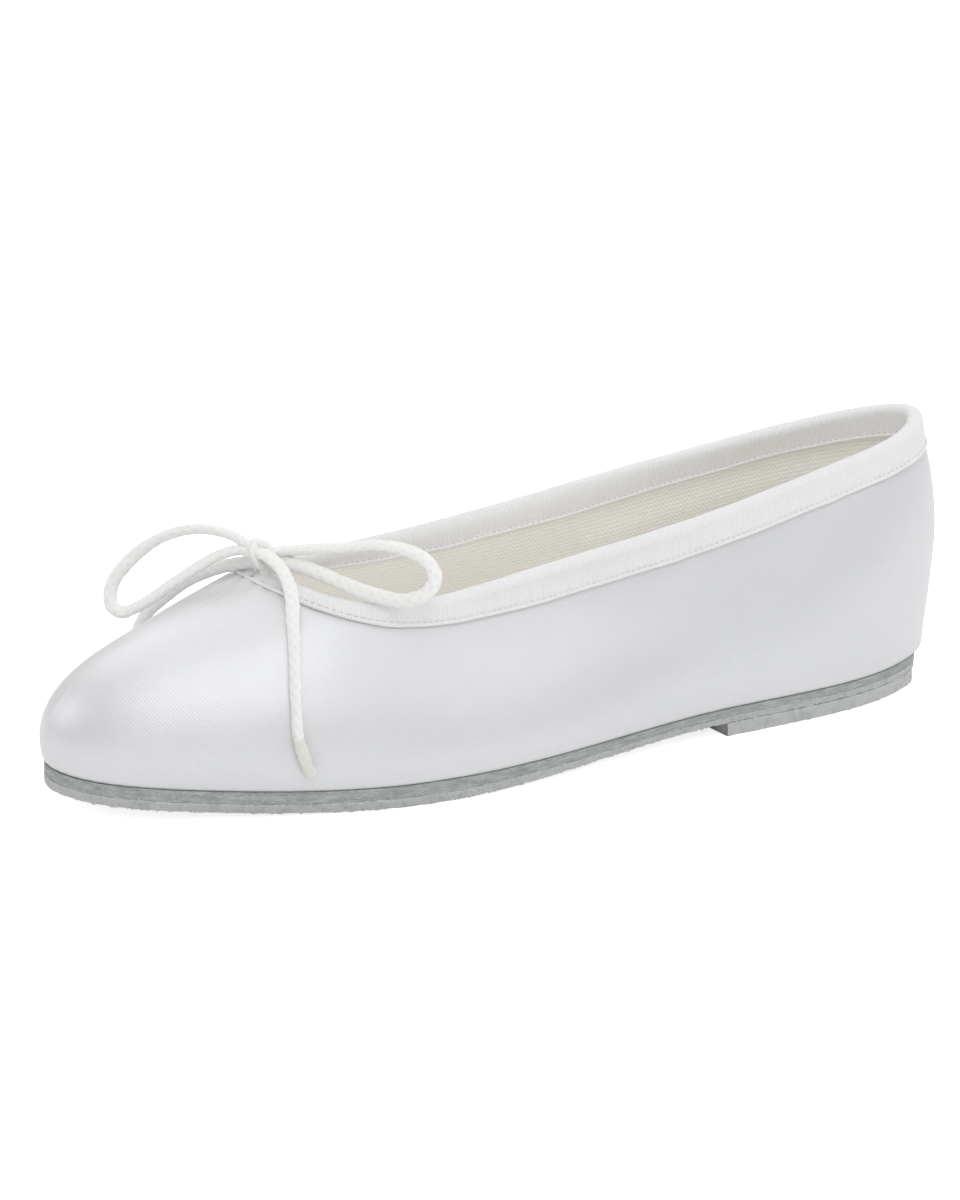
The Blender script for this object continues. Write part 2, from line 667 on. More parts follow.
def plain_fibre_mat(name, lo, hi, scale=300):
    m, nt, b = mat(name)
    n = obj_noise(nt, scale, 5.0, 0.7)
    col = mix_col(nt, n, lo, hi)
    nt.links.new(col, b.inputs["Base Color"])
    b.inputs["Roughness"].default_value = 0.9
    bump(nt, b, n, 0.5, 0.15)
    return m


M = {"satin": satin_mat(), "lining": lining_mat(), "tape": tape_mat(), "cord": cord_mat(), "tip": tip_mat(),
     "thread": thread_mat(), "midsole": midsole_mat(), "suede": suede_mat(), "insock": insock_mat(),
     "lift": suede_mat("suede_heel_lift", 1.08),
     "felt": plain_fibre_mat("stiff_felt", (0.50, 0.48, 0.42), (0.62, 0.60, 0.54)),
     "board": plain_fibre_mat("insole_board", (0.34, 0.25, 0.16), (0.46, 0.36, 0.25)),
     "filler": plain_fibre_mat("filler_felt", (0.34, 0.33, 0.30), (0.46, 0.44, 0.40))}


def flex(ob, material, slot, *nodes):
    ob.data.materials.append(M[material])
    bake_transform(ob)
    if nodes:
        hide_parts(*nodes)
    return ob


def on(ob, body, material, slot, *nodes):
    ob.data.materials.append(M[material])
    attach(ob, body)
    if nodes:
        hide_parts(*nodes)
    return ob


# ---------------------------------------------------------------- satin upper
def bind_width(s):
    return 6.50 * K - 3.13 * K * np.clip((110 * K - s) / (55 * K), 0, 1)


def build_satin():
    n = 760
    t, arc, total = even_feather(n)
    la = Last(t)
    hi = la.v_of_depth(np.full((n, 1), 1.5))[:, 0]
    fr = np.concatenate([np.linspace(0, 0.12, 14), np.linspace(0.12, 1, 56)[1:]])
    v = hi[:, None] * fr[::-1][None, :]
    p, nn, dv = la.at(v)
    d = np.empty_like(v)
    for i in range(n):
        d[i] = np.interp(v[i], la.gv[::-1], (la.depth[i][-1] - la.depth[i])[::-1])  # height along the surface above the sole
    off = np.zeros_like(v)
    # rolled lower edge where the satin turns under
    r = 0.95
    h = np.clip(d, 0, r)
    off -= r * 0.32 * (1 - np.sqrt(np.clip(1 - (1 - h / r) ** 2, 0, 1)))
    # lasting: tiny gathers round toe and heel, fading upwards
    s = feather(t)[:, 1]
    end = np.maximum(sm((26 - s) / 20), 0.7 * sm((s - 182) / 16))
    ph = arc / 2.9 * PI2 + 1.5 * noise1(arc, 9.0, 3, total)
    off += 0.055 * (end * np.sin(ph))[:, None] * np.exp(-((d - 1.6) / 3.2) ** 2)
    # soft hand: slow swells of the cloth
    off += 0.16 * noise2(arc[:, None] + 0 * d, d * 1.3, 17.0, 11) * sm(d / 8) * sm((la.total()[:, None] - 1.5 - d) / 10)
    off += 0.05 * noise2(arc[:, None] + 0 * d, d * 1.1, 6.0, 12) * sm(d / 6) * sm((la.total()[:, None] - 3 - d) / 8)
    # pulled down a little where the binding is stitched
    dep = la.total()[:, None] - d
    bw = bind_width(la.s)[:, None]
    off -= 0.12 * np.exp(-((dep - bw - 0.1) / 0.7) ** 2) * sm((la.s[:, None] - 47) / 6)
    ta, _, ttot = even_top(2000)
    at = np.interp(t, ta, np.arange(2000) * ttot / 2000)
    at = np.minimum(at, ttot - at)[:, None]
    off += 0.15 * np.sin(at / 3.6 * PI2 + 0.5) * np.exp(-(at / 9.0) ** 2) * np.exp(-np.clip(dep - bw, 0, None) / 2.6)
    outer = p + nn * off[..., None]
    # turned-under margin and inner face; at the heel the satin rolls down over the shorter sole
    f = feather(t)
    pn = plan_n(feather, t)
    hang = sm(np.linalg.norm(heel_inset(t), axis=-1) / 1.9)
    wk = int(18 / (total / n))
    kern = np.exp(-0.5 * (np.arange(-wk, wk + 1) * (total / n) / 6.0) ** 2)
    hang = np.convolve(np.concatenate([hang[-wk:], hang, hang[:wk]]), kern / kern.sum(), mode="valid")
    low = np.clip(1 - d / 2.6, 0, 1) ** 1.5 * hang[:, None]
    outer[..., 2] -= 1.25 * low
    outer -= pn[:, None, :] * (0.55 * np.clip(1 - d / 1.1, 0, 1) ** 2 * hang[:, None])[..., None]
    rings = []
    for m_in, dz, down in ((1.0, 0.02, 1.22), (2.0, 0.02, 0.75), (3.2, 0.02, 0), (5.4, 0.02, 0), (5.4, 0.55, 0), (3.2, 0.6, 0), (1.6, 0.66, 0)):
        q = f - pn * m_in
        q[:, 2] = seat_z(q[:, 1]) + dz - down * hang
        rings.append(q)
    margin = np.stack(rings, 1)
    fin = np.linspace(0.0, 1.0, 24)
    vlo = la.v_of_rise(0.75)
    vin = vlo[:, None] + (hi - vlo)[:, None] * fin[None, :]
    pi_, ni, _ = la.at(vin)
    inner = pi_ - 0.55 * ni
    P = np.concatenate([outer, margin, inner], 1)
    # uv in mm: along, and height
    w = np.concatenate([d, -np.ones((n, 1)) * np.array([1.0, 2.0, 3.2, 5.4, 6.0, 8.2, 9.8])[None, :], -10 - la.total()[:, None] * fin[None, :]], 1)
    u = arc[:, None] + 0 * w
    ob = torus_obj("satin_upper", P, u, w, total, 0.0, flip=True)
    return flex(ob, "satin", "satin", "satin_vamp", "satin_quarter")


def deepness(la, v, s):
    dep = np.empty_like(v)
    for i in range(len(la.t)):
        dep[i] = np.interp(v[i], la.gv[::-1], la.depth[i][::-1])
    w = np.maximum(1 - sm((s - 37) / 7), sm((s - 128) / 10))
    return w * sm((dep - 7.2) / 5.8)


def build_lining():
    n = 420
    t, arc, total = even_feather(n)
    la = Last(t)
    hi = la.v_of_depth(np.full((n, 1), 2.2))[:, 0]
    lo = la.v_of_rise(1.0)
    fr = np.linspace(0, 1, 44)
    v = lo[:, None] + (hi - lo)[:, None] * fr[::-1][None, :]
    p, nn, dv = la.at(v)
    dp = deepness(la, v, p[..., 1])
    dep = np.empty_like(v)
    for i in range(n):
        dep[i] = np.interp(v[i], la.gv[::-1], la.depth[i][::-1])
    wob = 0.10 * noise2(arc[:, None] + 0 * dep, dep, 12.0, 21) * sm((dep - 6) / 6)
    outer = p - nn * (0.82 + 0.9 * dp + wob * 0)[..., None]
    inner = p - nn * (1.38 + 0.9 * dp + np.abs(wob))[..., None]
    P = np.concatenate([outer, inner[:, ::-1]], 1)
    w = np.concatenate([dep, dep[:, ::-1]], 1)
    u = arc[:, None] + 0 * w
    ob = torus_obj("lining_twill", P, u, w, total, 0.0, flip=True)
    return flex(ob, "lining", "lining", "lining_vamp", "lining_quarter")


# ---------------------------------------------------------------- binding
def inner_width(s):
    """the tape's inner leg is turned in a little less deep than the outer one"""
    return bind_width(s) + 0.35 - np.interp(s, [0, 60, 90, 107, 125, 145, 158, 172, 185, 200], [0.8, 1.6, 2.0, 2.0, 1.2, 1.15, 0.9, 0.9, 0.5, 0.5])


def pressed(arc, total):
    """the tape lies pressed thin where it runs under the knot, and is drawn flat round the heel"""
    return 1 - 0.62 * np.exp(-(np.minimum(arc, total - arc) / 8.0) ** 2) - 0.36 * np.exp(-((arc - total / 2) / 26.0) ** 2)


def build_binding():
    t, arc, total = even_top(int(370 / RIB) * 2)
    n_rib = int(round(total / RIB))
    per = 4
    t, arc, total = even_top(n_rib * per)
    n = len(t)
    la = Last(t)
    bw = bind_width(la.s) + 0.10 * noise1(arc, 5.0, 31, total)
    near_throat = np.exp(-np.minimum(arc, total - arc) / 11.0)
    prof_low = [(-0.02, 0.12), (0.03, 0.34), (-0.02, 0.58), (-0.14, 0.76), (-0.32, 0.84), (-0.50, 0.79), (-0.66, 0.67), (-0.82, 0.57),
                (-1.00, 0.55), (-1.30, 0.63)]
    up = np.linspace(0, 1, 7)[1:]
    cols, offs, kinds = [], [], []
    flat = pressed(arc, total)
    slack = 0.78 * np.exp(-(np.minimum(arc, total - arc) / 5.5) ** 2)
    o_end, i_end = -0.70 + (1.65 - slack) * 0.97, -0.70 - (1.65 - slack) * 0.97
    for dd, o in prof_low:
        cols.append(bw + dd)
        offs.append(o * flat)
        kinds.append("s")
    for f in up:
        cols.append((bw - 1.30) + (0.92 - (bw - 1.30)) * f)
        offs.append(0.64 * flat * (1 - f ** 1.4) + o_end * f ** 1.4)
        kinds.append("s")
    arc_pts = [(math.radians(a), 1.65) for a in np.linspace(-14, 194, 17)]
    low_in = [(1.15, -2.10)]
    dn_cols, dn_offs = [], []
    deep = -(0.80 + 0.60 + 0.10) - 0.56
    bwi = inner_width(la.s) + 0.10 * noise1(arc, 6.0, 36, total)
    for f in np.linspace(0, 1, 7):
        dn_cols.append(0.92 + (bwi - 1.30 - 0.92) * f)
        dn_offs.append(deep + (i_end - deep) * (1 - f) ** 1.4)
    for dd, o in [(-1.06, deep + 0.05), (-0.88, deep + 0.03), (-0.72, deep - 0.08), (-0.56, deep - 0.22), (-0.36, deep - 0.27),
                  (-0.16, deep - 0.20), (0.0, deep + 0.02), (0.02, deep + 0.30), (-0.02, deep + 0.52)]:
        dn_cols.append(bwi + dd)
        dn_offs.append(np.full(n, o))
    in_cols, in_offs = [], []
    for f in np.linspace(1, 0, 4):
        in_cols.append(1.3 + (bwi - 0.1 - 1.3) * f)
        in_offs.append(np.full(n, -1.52))
    arc_in = [(math.radians(a), 1.12) for a in np.linspace(194, -14, 9)]
    out_cols, out_offs = [], []
    for f in np.linspace(0, 1, 4):
        out_cols.append(1.3 + (bw - 0.1 - 1.3) * f)
        out_offs.append(np.full(n, 0.12))
    P, W, RIBF = [], [], []
    ones = np.ones((n, 1))
    T, N0, U0 = la.at(ones)
    T, N0, U0 = T[:, 0], N0[:, 0], U0[:, 0]

    def surf(cols, offs, rf):
        d = np.stack(cols, 1)
        v = la.v_of_depth(d)
        p, nn, _ = la.at(v)
        o = np.stack(offs, 1)
        P.append((p, nn, o, rf))

    def fold(pts, rf):
        a = np.array([q[0] for q in pts])[None, :]
        r = np.array([q[1] for q in pts])[None, :] - slack[:, None]
        nv, uv_ = np.cos(a), np.sin(a)
        c = T[:, None] + N0[:, None] * (-0.70) + U0[:, None] * (-0.28 - 0.45 * slack)[:, None, None]
        d = N0[:, None] * nv[..., None] + U0[:, None] * uv_[..., None]
        P.append((c, d, r * np.ones((n, 1)), rf))

    surf(cols, offs, np.array([0, .3, .4, .45, .45, .45, .5, .7, .9, 1] + [1] * 6))
    fold(arc_pts, np.ones(len(arc_pts)))
    surf(dn_cols, dn_offs, np.array([-1] * 7 + [-.9, -.7, -.5, -.45, -.45, -.4, -.3, 0, 0]))
    surf(in_cols, in_offs, np.zeros(4))
    fold(arc_in, np.zeros(9))
    surf(out_cols, out_offs, np.zeros(4))
    rib = np.cos(PI2 * np.arange(n) / per)
    if per == 4:
        rib = np.tile(np.array([1.0, 0.25, -1.0, 0.25]), n // 4)
    amp = 0.052 * (1 + 0.25 * noise1(arc, 1.7, 33, total))
    # gathers of the tape at the throat and slow unevenness of the fold
    gather = 0.20 * near_throat * np.sin(arc / 2.6 * PI2 + 2 * noise1(arc, 4, 34, total)) + 0.07 * noise1(arc, 8.0, 35, total)
    out = []
    for c, nn, o, rf in P:
        m = o.shape[1]
        ro = np.abs(rf)[None, :] * (amp * rib)[:, None]
        sgn = np.where(rf < 0, -1.0, 1.0)[None, :]
        extra = np.where(np.abs(rf)[None, :] > 0.6, gather[:, None] * 0.6, 0)
        out.append(c + nn * (o + sgn * (ro + extra))[..., None])
    G = np.concatenate(out, 1)
    # the eyelet the cord ends come out of: a small dimple in the tape
    dd = np.linalg.norm(G - EYELET, axis=-1)
    k = np.clip(1 - (dd / 0.85) ** 2, 0, 1) ** 2
    G = G - np.array([0.0, -0.33, 0.94]) * (0.18 * k)[..., None]
    w = np.concatenate([[0], np.cumsum(np.linalg.norm(np.diff(G, axis=1), axis=2).mean(0))])
    W = np.ones((n, 1)) * w[None, :]
    U = arc[:, None] + 0 * W
    ob = torus_obj("binding_grosgrain", G, U, W, total, 0.0, flip=False)
    return flex(ob, "tape", "grosgrain", "binding_front", "binding_rear")


def build_stitches():
    """lockstitch along the outer leg: separate short lengths of thread, joined in one object"""
    _, _, total = even_top(100)
    pitch = 1.32
    n = int(total / pitch)
    t0, arc0, total = even_top(n)
    verts, quads, uv = [], [], []
    sides, secs = 6, 7
    span = pitch * 0.36
    tt = np.linspace(0, PI2, 6001)
    pp = topline(turn(tt))
    aa = np.concatenate([[0], np.cumsum(np.linalg.norm(np.diff(pp, axis=0), axis=1))])
    for side, width, o_mid, sgn in ((0, bind_width, 0.60, 1), (1, inner_width, -2.02, -1)):
        xs = np.concatenate([a0 + np.linspace(-span, span, secs) for a0 in arc0]) % total
        ts = np.interp(xs, aa, tt)
        la = Last(ts)
        d = (width(la.s) - 0.97)[:, None]
        v = la.v_of_depth(d)
        p, nn, dv = la.at(v)
        p, nn, dv = p[:, 0], nn[:, 0], dv[:, 0]
        f = np.tile(np.linspace(-1, 1, secs), n)
        o = (o_mid * pressed(xs, total) if side == 0 else o_mid) + sgn * (0.11 - 0.20 * f ** 2)
        c = p + nn * o[:, None] + dv * (0.05 * f)[:, None]
        r = 0.145 * np.sqrt(np.clip(1 - (f * 0.93) ** 4, 0.05, 1))
        for k in range(n):
            if min(arc0[k], total - arc0[k]) < 3.0:
                continue
            base = len(verts)
            for i in range(secs):
                q = k * secs + i
                tx = c[min(k * secs + i + 1, k * secs + secs - 1)] - c[max(k * secs + i - 1, k * secs)]
                tx = tx / np.linalg.norm(tx)
                y = np.cross(tx, nn[q])
                for j in range(sides):
                    a = PI2 * j / sides
                    verts.append(c[q] + r[q] * (math.cos(a) * nn[q] + math.sin(a) * y))
            for i in range(secs - 1):
                for j in range(sides):
                    j2 = (j + 1) % sides
                    quads.append((base + i * sides + j, base + (i + 1) * sides + j, base + (i + 1) * sides + j2, base + i * sides + j2))
                    uv += [(i * .2, j * .15), (i * .2 + .2, j * .15), (i * .2 + .2, j * .15 + .15), (i * .2, j * .15 + .15)]
            for b0, rev in ((base, True), (base + (secs - 1) * sides, False)):
                ring = [b0 + j for j in range(sides)]
                face = ring if rev else ring[::-1]
                quads.append(tuple(face))
                uv += [(0, 0)] * sides
    ob = new_mesh("binding_stitches", np.array(verts), quads, np.array(uv))
    return flex(ob, "thread", "thread", "binding_stitch_front", "binding_stitch_rear")


# ---------------------------------------------------------------- cords
def braid(a, r):
    """flat-braided surface: two families of strands crossing"""
    ph = PI2 * a / 2.5
    k = 4
    s1 = np.abs(np.sin(0.5 * (ph + k * r)))
    s2 = np.abs(np.sin(0.5 * (ph - k * r)))
    return 0.17 * (np.maximum(s1, s2) - 0.85)


def cord_obj(name, pts, step=0.30, ra=1.42, rb=1.00, cap=True, roll=(0.2, 1.2), thin=None):
    raw = catmull(pts, 200)
    length = np.linalg.norm(np.diff(raw, axis=0), axis=1).sum()
    path = catmull(pts, max(int(length / (step * 1)), 8))
    n = len(path)
    x = np.linspace(0, length, n)
    var = 1 + 0.035 * noise1(x, 6.0, len(name) * 7 + 1) + 0.02 * noise1(x, 2.1, len(name) * 5 + 2)
    if thin is not None:
        var = var * np.interp(x / length, [0, 0.35, 0.6, 1], [1, 1, thin, thin])
    f = x / length
    rl = np.interp(f, np.linspace(0, 1, len(roll)), roll) + 0.12 * noise1(x, 5.0, len(name))
    return tube_obj(name, path, ra * var, rb * var, sides=26, texture=braid, cap=cap, roll=rl)


NEAR_LOOP = [(0.6, 45.9, 45.4), (2.6, 47.2, 45.8), (7.2, 51.6, 46.75), (13.8, 58.1, 47.85), (18.6, 62.1, 48.8), (23.8, 66.0, 48.4),
             (27.7, 68.4, 46.6), (29.8, 68.8, 43.9), (29.5, 67.1, 41.0), (26.6, 63.9, 39.3), (22.3, 60.4, 39.7),
             (17.4, 57.0, 40.8), (12.4, 53.9, 42.4), (8.0, 51.0, 43.6), (3.7, 48.0, 44.4), (0.9, 46.3, 44.8)]
FAR_LOOP = [(-0.5, 45.2, 46.0), (-2.4, 44.2, 46.8), (-6.2, 41.5, 48.4), (-11.2, 36.9, 48.7), (-15.5, 31.7, 46.6), (-18.5, 26.5, 42.2),
            (-19.6, 22.9, 37.3), (-18.2, 22.1, 33.6), (-16.3, 23.4, 32.5), (-13.5, 27.2, 34.6), (-10.8, 31.4, 38.1),
            (-8.2, 35.7, 41.5), (-5.7, 39.7, 44.25), (-2.6, 43.2, 45.6), (-0.6, 45.0, 45.5)]
NEAR_TAIL = [(0.8, 44.9, 45.7), (2.9, 45.0, 45.9), (5.9, 45.4, 45.5), (8.9, 46.0, 44.2), (12.2, 45.9, 42.2), (15.9, 44.9, 39.55),
             (18.77, 43.53, 36.55), (21.65, 42.22, 33.4), (24.3, 40.95, 30.0), (26.25, 40.0, 26.9),
             (27.95, 39.2, 23.4), (29.25, 38.7, 19.85), (30.05, 38.45, 16.55)]
NEAR_TIP = [(30.0, 38.42, 16.9), (30.22, 38.58, 15.9), (30.5, 38.9, 14.5), (30.85, 39.4, 12.2), (31.05, 40.0, 10.3), (31.1, 40.5, 9.3)]
FAR_TAIL = [(-0.6, 45.5, 43.9), (-3.1, 44.95, 42.8), (-7.0, 43.4, 41.6), (-11.1, 41.2, 39.95), (-15.2, 37.5, 37.3), (-18.5, 33.9, 33.7),
            (-21.1, 31.1, 30.1), (-23.6, 30.2, 26.1), (-26.1, 30.8, 21.9), (-27.9, 31.9, 17.6)]
FAR_TIP = [(-27.85, 31.85, 17.9), (-28.0, 32.0, 17.2), (-28.7, 32.8, 15.2), (-29.3, 33.7, 12.6), (-29.55, 34.3, 11.0)]


def build_bow():
    on(cord_obj("bow_near_loop", NEAR_LOOP, roll=(0.1, 0.2, 0.7, 1.35, 1.4)), "near_loop", "cord", "cord", "near_loop")
    on(cord_obj("bow_far_loop", FAR_LOOP, roll=(0.5, 0.7, 1.45, 1.1, 0.8)), "far_loop", "cord", "cord", "far_loop")
    on(cord_obj("bow_near_end", NEAR_TAIL, roll=(0.2, 0.1, 0.7, 1.2, 1.25), thin=0.92), "near_end", "cord", "cord", "near_tail")
    on(cord_obj("bow_far_end", FAR_TAIL, ra=1.30, rb=0.98, roll=(1.6, 1.9, 1.6, 1.0)), "far_end", "cord", "cord", "far_tail")
    for name, pts, body, cad in (("bow_near_tip", NEAR_TIP, "near_end", "near_tail_tip"), ("bow_far_tip", FAR_TIP, "far_end", "far_tail_tip")):
        path = catmull(pts, 40)
        f = np.linspace(0, 1, 40)
        ra = 1.18 + 0.10 * np.sin(f * 2.2) + 0.07 * noise1(f * 8, 1.0, 51)
        rb = 0.94 - 0.55 * f ** 2 + 0.05 * noise1(f * 8, 1.3, 52)
        on(tube_obj(name, path, ra, rb, sides=22, roll=1.25 if "near" in name else 0.5, texture=lambda a, r: 0.05 * np.sin(5 * r + a * 1.3)), body, "tip", "cord_tip", cad)
    # the knot: a turn and a half of cord round the crossing of the loops
    c = KNOT
    ax = unit(np.array([0.70, 0.62, 0.10]))            # along the loops
    e1 = unit(np.array([0.0, -0.2, 1.0]) - ax * (ax @ np.array([0.0, -0.2, 1.0])))
    e2 = np.cross(ax, e1)
    a = np.linspace(math.radians(-150), math.radians(335), 64)
    f = np.linspace(-1, 1, 64)
    tuck = 1 - 0.62 * sm((np.abs(f) - 0.80) / 0.20)                      # both ends of the turn tuck in under it
    turns = np.array([c + np.array([0.30, -0.20, 0.05]) + ax * (1.10 * ff) + (2.02 * w * math.cos(q)) * e1 + (1.70 * w * math.sin(q)) * e2
                      for q, ff, w in zip(a, f, tuck)])
    turns = catmull(turns[::2], 110)
    knot = tube_obj("bow_knot_turns", turns, 1.34, 0.96, sides=26, texture=braid, roll=math.pi / 2)
    on(knot, "forepart", "cord", "cord", "bow_knot")
    core = catmull([c - ax * 2.3 + e1 * 0.5, c - ax * 1.0 + e1 * 0.2, c + ax * 1.0 - e1 * 0.2, c + ax * 2.2 - e1 * 0.4], 24)
    core = catmull(core, 60)
    on(tube_obj("bow_knot_core", core, 1.45, 1.35, sides=26, texture=braid), "forepart", "cord", "cord")
    # the strand that closes the knot, drawn tight over its top
    r_, u_, f_ = np.array([0.480, 0.877, 0.0]), np.array([-0.238, 0.131, 0.962]), np.array([0.844, -0.462, 0.272])
    over = [c + r_ * q[0] + u_ * q[1] + f_ * q[2] for q in ((-1.45, -0.5, 0.2), (-1.36, 0.90, 0.95), (-0.86, 1.55, 1.3), (0.12, 1.90, 1.5),
                                                             (1.30, 1.55, 1.4), (1.85, 0.95, 1.1), (1.70, 0.2, 0.3))]
    fo = np.linspace(0, 1, 60)
    wide = 0.80 + 0.28 * np.sin(math.pi * fo) ** 0.6
    on(tube_obj("bow_knot_over", catmull(over, 60), 1.02 * wide, 0.86 * wide, sides=24, texture=braid, roll=0.3), "forepart", "cord", "cord")


def build_drawstring():
    gap = 2.4
    tt = np.linspace(0, PI2, 6001)
    pp = topline(turn(tt))
    aa = np.concatenate([[0], np.cumsum(np.linalg.norm(np.diff(pp, axis=0), axis=1))])
    x = np.linspace(gap, aa[-1] - gap, 520)
    la = Last(np.interp(x, aa, tt))
    T, N0, U0 = [q[:, 0] for q in la.at(np.ones((len(x), 1)))]
    core = T - 0.70 * N0 - 0.28 * U0
    q = topline(np.array([0.0]))[0]
    y, top = q[1] + 0.05, KNOT[2] - 1.2
    a = np.array([(1.0, y, top), (1.17, y, q[2] + 1.6), (1.25, y, q[2] + 0.8), (1.6, y, q[2] + 0.1)])
    b = a[::-1] * np.array([-1, 1, 1])
    path = np.concatenate([a, core, b])
    path = catmull(path, 900)
    rr = 0.86 - 0.30 * np.exp(-(np.minimum(np.arange(900), np.arange(900)[::-1]) * 0.385 / 6.0) ** 2)
    ob = tube_obj("drawstring_in_casing", path, rr, rr, sides=12, texture=lambda l, r: 0.4 * braid(l, r))
    return flex(ob, "cord", "cord", "drawstring_near", "drawstring_far", "drawstring_rear")


# ---------------------------------------------------------------- sole stack
TORN = [(0, -0.17), (0.03, -0.06), (0.08, 0), (0.16, 0.02), (0.25, 0.02), (0.34, 0.02), (0.43, 0.02), (0.52, 0.02), (0.61, 0.02), (0.70, 0.02),
        (0.79, 0.01), (0.87, 0.0), (0.94, -0.03), (1.0, -0.07)]
CUT = [(0, -0.07), (0.06, -0.02), (0.14, 0), (0.27, 0.01), (0.40, 0.02), (0.53, 0.02), (0.66, 0.02), (0.79, 0.01), (0.89, -0.01), (0.96, -0.04), (1.0, -0.10)]


def sole_obj(name, off, z_lo, z_hi, n=520, s_from=None, rough=None, edge=0.35, across=17, uv_side=True, prof=None, heel=0.0):
    """closed layer whose height depends on the distance from the toe.  off: plan offset from the feather line.
    rough(arc, k): extra plan offset of side point k (0 bottom ... 1 top); a ring round the edge plus two capped faces."""
    half = n // 2
    t, arc, total = even_feather(n)
    f = feather(t)
    pn = plan_n(feather, t)
    if s_from is not None:
        keep = f[:, 1] + 0 * arc >= s_from
        idx = np.where(keep)[0]
        t, arc, f, pn = t[idx], arc[idx], f[idx], pn[idx]
    m = len(t)
    ks = [(0.0, -edge * 0.9), (0.06, -edge * 0.3), (0.16, 0.0), (0.34, 0.02), (0.5, 0.03), (0.66, 0.02), (0.84, 0.0), (0.94, -edge * 0.3), (1.0, -edge * 0.9)]
    ks = prof or ks
    side = []
    trim = heel_inset(t, heel) if heel > 0 else 0.0
    for k, inset in ks:
        o = off + inset + (rough(arc, k) if rough is not None else 0.0)
        q = f + pn * (o * np.ones(m))[:, None] + trim
        lo, hi = z_lo(q[:, 1]), z_hi(q[:, 1])
        q[:, 2] = lo + (hi - lo) * k
        side.append(q)
    side = np.stack(side, 1)              # (m, len(ks), 3)
    return t, arc, total, side, ks


def sole_mesh(name, off, z_lo, z_hi, n=520, s_from=None, rough=None, rough_z=None, edge=0.35, across=15, prof=None, fleck=None, heel=0.0):
    t, arc, total, side, ks = sole_obj(name, off, z_lo, z_hi, n, s_from, rough, edge, prof=prof, heel=heel)
    m, nk, _ = side.shape
    if rough_z is not None:
        for j, (k, _i) in enumerate(ks):
            side[:, j, 2] = np.maximum(side[:, j, 2] + rough_z(arc, k), 0.005)
    verts = side.reshape(-1, 3).tolist()
    quads, uv = [], []
    closed = s_from is None
    heights = [k for k, _ in ks]
    zz = float(np.mean(z_hi(side[:, -1, 1]) - z_lo(side[:, 0, 1])))
    ua = np.concatenate([arc, [total]]) if closed else arc
    lim = m if closed else m - 1
    for i in range(lim):
        i2 = (i + 1) % m
        for j in range(nk - 1):
            quads.append((i * nk + j, i2 * nk + j, i2 * nk + j + 1, i * nk + j + 1))
            uv += [(ua[i], heights[j] * zz), (ua[i + 1], heights[j] * zz), (ua[i + 1], heights[j + 1] * zz), (ua[i], heights[j + 1] * zz)]
    # caps: strips across from near to far side
    def cap(j, zf, down):
        h = m // 2
        rows = []
        for i in range(0 if not closed else 0, h + (1 if closed else 0)):
            a = i
            b = (m - i) % m if closed else m - 1 - i
            if a == b:
                rows.append([a * nk + j] * 2)
                continue
            pa, pb = side[a, j], side[b, j]
            row = [a * nk + j]
            for c in range(1, across):
                g = c / across
                q = pa + (pb - pa) * g
                q = np.array([q[0], q[1], zf(q[1])])
                if rough_z is not None and down:
                    q[2] += 0.0
                row.append(len(verts))
                verts.append(q.tolist())
            row.append(b * nk + j)
            rows.append(row)
        for r1, r2 in zip(rows[:-1], rows[1:]):
            if len(r1) == 2 and r1[0] == r1[1]:
                for c in range(across):
                    fc = (r1[0], r2[c], r2[c + 1])
                    quads.append(fc if not down else fc[::-1])
            elif len(r2) == 2 and r2[0] == r2[1]:
                for c in range(across):
                    fc = (r1[c + 1], r1[c], r2[0])
                    quads.append(fc if not down else fc[::-1])
            else:
                for c in range(across):
                    fc = (r1[c], r2[c], r2[c + 1], r1[c + 1])
                    quads.append(fc if not down else fc[::-1])
        return rows
    nq = len(quads)
    rb = cap(0, z_lo, True)
    rt = cap(nk - 1, z_hi, False)
    if not closed:
        # breast face between the two end columns of the side strip
        row_lo, row_hi = rb[0], rt[0]
        cols = [row_lo]
        left = [0 * nk + j for j in range(nk)]
        right = [(m - 1) * nk + j for j in range(nk)]
        grid = [row_lo]
        for j in range(1, nk - 1):
            pa, pb = np.array(verts[left[j]]), np.array(verts[right[j]])
            row = [left[j]]
            for c in range(1, across):
                q = pa + (pb - pa) * c / across
                q[1] += 0.25 * noise1(np.array([q[0] * 1.0 + 50 * j]), 1.5, 77)[0]
                row.append(len(verts))
                verts.append(q.tolist())
            row.append(right[j])
            grid.append(row)
        grid.append(row_hi)
        for g1, g2 in zip(grid[:-1], grid[1:]):
            for c in range(across):
                quads.append((g1[c], g2[c], g2[c + 1], g1[c + 1])[::-1])
    for q in quads[nq:]:
        for k in q:
            vx = verts[k]
            uv.append((vx[0] * 1.0 + 400, vx[1]))
    ob = new_mesh(name, np.array(verts), quads, np.array(uv))
    if fleck is not None:
        val = np.zeros(len(verts), np.float32)
        val[:m * nk] = np.tile(np.array([fleck(k) for k, _ in ks], np.float32), m)
        ob.data.attributes.new("fleck", "FLOAT", "POINT").data.foreach_set("value", val)
    return ob


